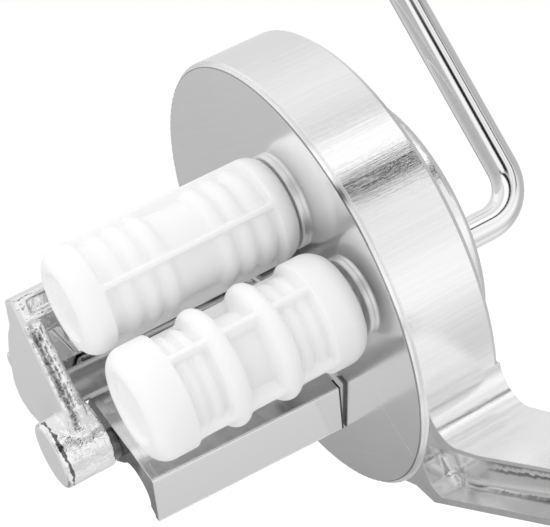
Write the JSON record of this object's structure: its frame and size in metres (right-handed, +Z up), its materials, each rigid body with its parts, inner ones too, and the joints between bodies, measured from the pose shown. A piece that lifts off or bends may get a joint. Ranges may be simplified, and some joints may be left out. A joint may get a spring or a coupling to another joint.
{
  "type": "hand cranked pasta shell maker",
  "caption": "Two finned plastic rollers on a round gear drum, with a hand crank, a sheet chute, an end bracket and a table clamp arm.",
  "frame": {"origin": "middle of the upper clamp jaw's table face", "axes": "+Z up, +Y from the clamp jaw towards the gear drum, +X towards the crank, rollers point along -X"},
  "size_m": [0.1673, 0.194, 0.2424],
  "materials": {
    "cast_alloy": "polished casting",
    "mirror_plate": "mirror polished with fine scratches",
    "chrome": "bright plated",
    "rough_chrome": "plated rough casting",
    "sheet_steel": "polished sheet",
    "white_plastic": "moulded, slight gloss",
    "turned_wood": "oiled",
    "machine_steel": "turned",
    "bronze": "turned"
  },
  "bodies": {
    "frame": {"housing": "cast_alloy", "face_plate": "mirror_plate", "lower_front_bush": "machine_steel", "upper_front_bush": "machine_steel", "lower_back_bush": "bronze", "upper_back_bush": "bronze", "end_bracket": "rough_chrome", "bracket_screws": "machine_steel", "chute": "sheet_steel", "chute_screw": "machine_steel", "chute_spacer": "machine_steel"},
    "crank": {"lower_shaft": "machine_steel", "lower_gear": "machine_steel", "lower_key": "machine_steel", "lower_clip": "machine_steel", "lower_washer": "machine_steel", "lower_roller": "white_plastic", "crank_rod": "chrome", "grip_washer": "machine_steel", "end_washer": "machine_steel", "end_nut": "chrome"},
    "upper_set": {"upper_shaft": "machine_steel", "upper_gear": "machine_steel", "upper_key": "machine_steel", "upper_clip": "machine_steel", "upper_washer": "machine_steel", "upper_roller": "white_plastic"},
    "grip_body": {"grip": "turned_wood"},
    "pad_body": {"clamp_pad": "chrome"},
    "screw_body": {"clamp_screw": "machine_steel"},
    "tommy_body": {"tommy_bar": "machine_steel", "tommy_caps": "chrome"}
  },
  "joints": [
    {"name": "crank_spin", "type": "hinge", "parent": "frame", "child": "crank", "pos_m": [0, 0.1041, 0.0423], "axis": [1, 0, 0], "continuous": true},
    {"name": "upper_spin", "type": "hinge", "parent": "frame", "child": "upper_set", "pos_m": [0, 0.11679, 0.06162], "axis": [1, 0, 0], "continuous": true},
    {"name": "grip_spin", "type": "hinge", "parent": "crank", "child": "grip_body", "pos_m": [0.07, 0.12182, 0.12031], "axis": [1, 0, 0], "continuous": true},
    {"name": "screw_travel", "type": "slide", "parent": "frame", "child": "pad_body", "axis": [0, 0, 1], "range_m": [-0.019, 0.027]},
    {"name": "screw_turn", "type": "hinge", "parent": "pad_body", "child": "screw_body", "pos_m": [0, 0, -0.06], "axis": [0, 0, 1], "range_deg": [-4561, 6481]},
    {"name": "tommy_slide", "type": "slide", "parent": "screw_body", "child": "tommy_body", "axis": [1, 0, 0], "range_m": [-0.019, 0.019]}
  ],
  "couplings": [
    {"joint": "upper_spin", "follows": "crank_spin", "ratio": -1},
    {"joint": "screw_turn", "follows": "screw_travel", "rad_per_m": 4188.8}
  ]
}
